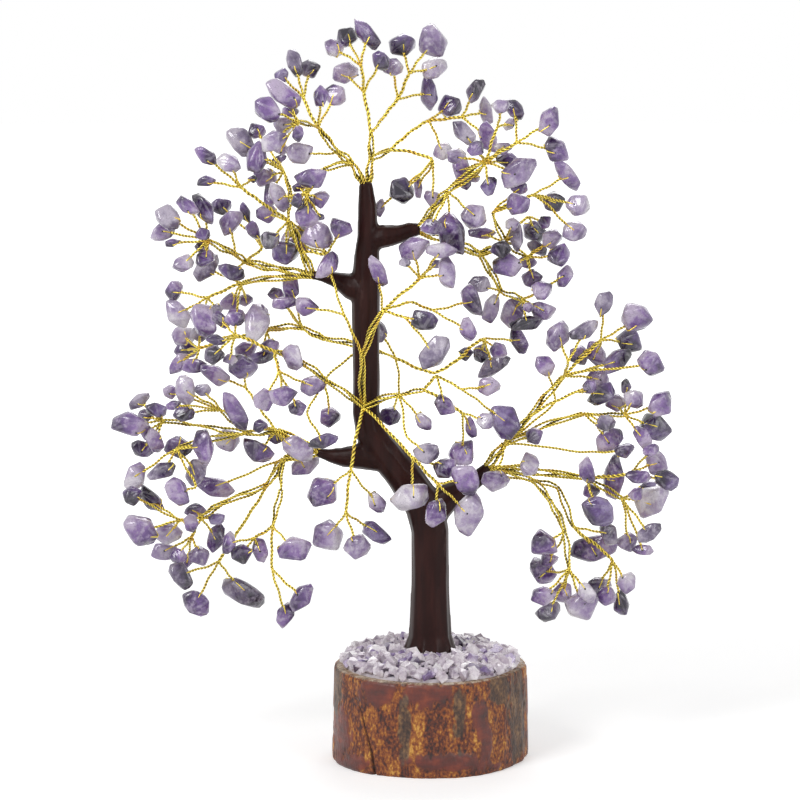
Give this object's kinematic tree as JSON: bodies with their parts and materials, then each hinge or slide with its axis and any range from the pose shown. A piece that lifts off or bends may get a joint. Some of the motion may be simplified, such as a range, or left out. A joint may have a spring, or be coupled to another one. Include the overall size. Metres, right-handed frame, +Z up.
{
  "type": "gemstone tree ornament",
  "caption": "Table ornament: a tree of twisted brass wire boughs tipped with tumbled amethyst chips, on a moulded trunk set in a round of branch wood.",
  "frame": {"origin": "middle of the wood slice's underside, on the surface that the tree stands on", "axes": "+Z up; the pictured front faces -Y; +X is to the viewer's right"},
  "size_m": [0.2117, 0.0855, 0.2785],
  "materials": {
    "amethyst_deep": "tumbled, glossy",
    "amethyst_violet": "tumbled, glossy",
    "amethyst_pale": "tumbled, glossy",
    "amethyst_smoky": "tumbled, glossy",
    "gravel_pale": "tumbled, satin",
    "gravel_dark": "tumbled, satin",
    "brass_wire": "bright twisted wire",
    "trunk_resin": "dark brown, semi-gloss",
    "branch_wood": "natural bark, sawn faces",
    "clear_glue": "clear set glue"
  },
  "bodies": {
    "base": {"wood_slice": "branch_wood", "glue_bed": "clear_glue", "gravel_pale": "gravel_pale", "gravel_violet": "amethyst_violet", "gravel_dark": "gravel_dark", "trunk": "trunk_resin", "trunk_core": "brass_wire"},
    "top_left": {"top_left_gems_deep": "amethyst_deep", "top_left_gems_pale": "amethyst_pale", "top_left_gems_smoky": "amethyst_smoky", "top_left_gems_violet": "amethyst_violet", "top_left_stems": "brass_wire", "top_left_twigs": "brass_wire"},
    "top_right": {"top_right_gems_deep": "amethyst_deep", "top_right_gems_pale": "amethyst_pale", "top_right_gems_smoky": "amethyst_smoky", "top_right_gems_violet": "amethyst_violet", "top_right_stems": "brass_wire", "top_right_twigs": "brass_wire"},
    "upper_right": {"upper_right_gems_deep": "amethyst_deep", "upper_right_gems_pale": "amethyst_pale", "upper_right_gems_smoky": "amethyst_smoky", "upper_right_gems_violet": "amethyst_violet", "upper_right_stems": "brass_wire", "upper_right_twigs": "brass_wire"},
    "mid_left": {"mid_left_gems_deep": "amethyst_deep", "mid_left_gems_pale": "amethyst_pale", "mid_left_gems_smoky": "amethyst_smoky", "mid_left_gems_violet": "amethyst_violet", "mid_left_stems": "brass_wire", "mid_left_twigs": "brass_wire"},
    "front_spray": {"front_spray_gems_deep": "amethyst_deep", "front_spray_gems_pale": "amethyst_pale", "front_spray_gems_smoky": "amethyst_smoky", "front_spray_gems_violet": "amethyst_violet", "front_spray_stems": "brass_wire", "front_spray_twigs": "brass_wire"},
    "back_spray": {"back_spray_gems_deep": "amethyst_deep", "back_spray_gems_pale": "amethyst_pale", "back_spray_gems_smoky": "amethyst_smoky", "back_spray_gems_violet": "amethyst_violet", "back_spray_stems": "brass_wire", "back_spray_twigs": "brass_wire"},
    "lower_left": {"lower_left_gems_deep": "amethyst_deep", "lower_left_gems_pale": "amethyst_pale", "lower_left_gems_smoky": "amethyst_smoky", "lower_left_gems_violet": "amethyst_violet", "lower_left_stems": "brass_wire", "lower_left_twigs": "brass_wire"},
    "lower_right": {"lower_right_gems_deep": "amethyst_deep", "lower_right_gems_pale": "amethyst_pale", "lower_right_gems_smoky": "amethyst_smoky", "lower_right_gems_violet": "amethyst_violet", "lower_right_stems": "brass_wire", "lower_right_twigs": "brass_wire"}
  },
  "joints": [
    {"name": "top_left_bend", "type": "hinge", "parent": "base", "child": "top_left", "pos_m": [-0.02553, -0.0016, 0.21847], "axis": [0, 1, 0], "range_deg": [-6, 6]},
    {"name": "top_right_bend", "type": "hinge", "parent": "base", "child": "top_right", "pos_m": [-0.02222, 0.0016, 0.21824], "axis": [0, 1, 0], "range_deg": [-6, 6]},
    {"name": "upper_right_bend", "type": "hinge", "parent": "base", "child": "upper_right", "pos_m": [-0.00381, 0, 0.20067], "axis": [0, 1, 0], "range_deg": [-6, 6]},
    {"name": "mid_left_bend", "type": "hinge", "parent": "base", "child": "mid_left", "pos_m": [-0.04444, 0, 0.18347], "axis": [0, 1, 0], "range_deg": [-6, 6]},
    {"name": "front_spray_bend", "type": "hinge", "parent": "base", "child": "front_spray", "pos_m": [-0.02507, -0.00539, 0.13527], "axis": [0, 1, 0], "range_deg": [-6, 6]},
    {"name": "back_spray_bend", "type": "hinge", "parent": "base", "child": "back_spray", "pos_m": [-0.02403, 0.00539, 0.15651], "axis": [0, 1, 0], "range_deg": [-6, 6]},
    {"name": "lower_left_bend", "type": "hinge", "parent": "base", "child": "lower_left", "pos_m": [-0.04245, 0, 0.11666], "axis": [0, 1, 0], "range_deg": [-6, 6]},
    {"name": "lower_right_bend", "type": "hinge", "parent": "base", "child": "lower_right", "pos_m": [0.02185, 0, 0.11095], "axis": [0, 1, 0], "range_deg": [-6, 6]}
  ]
}
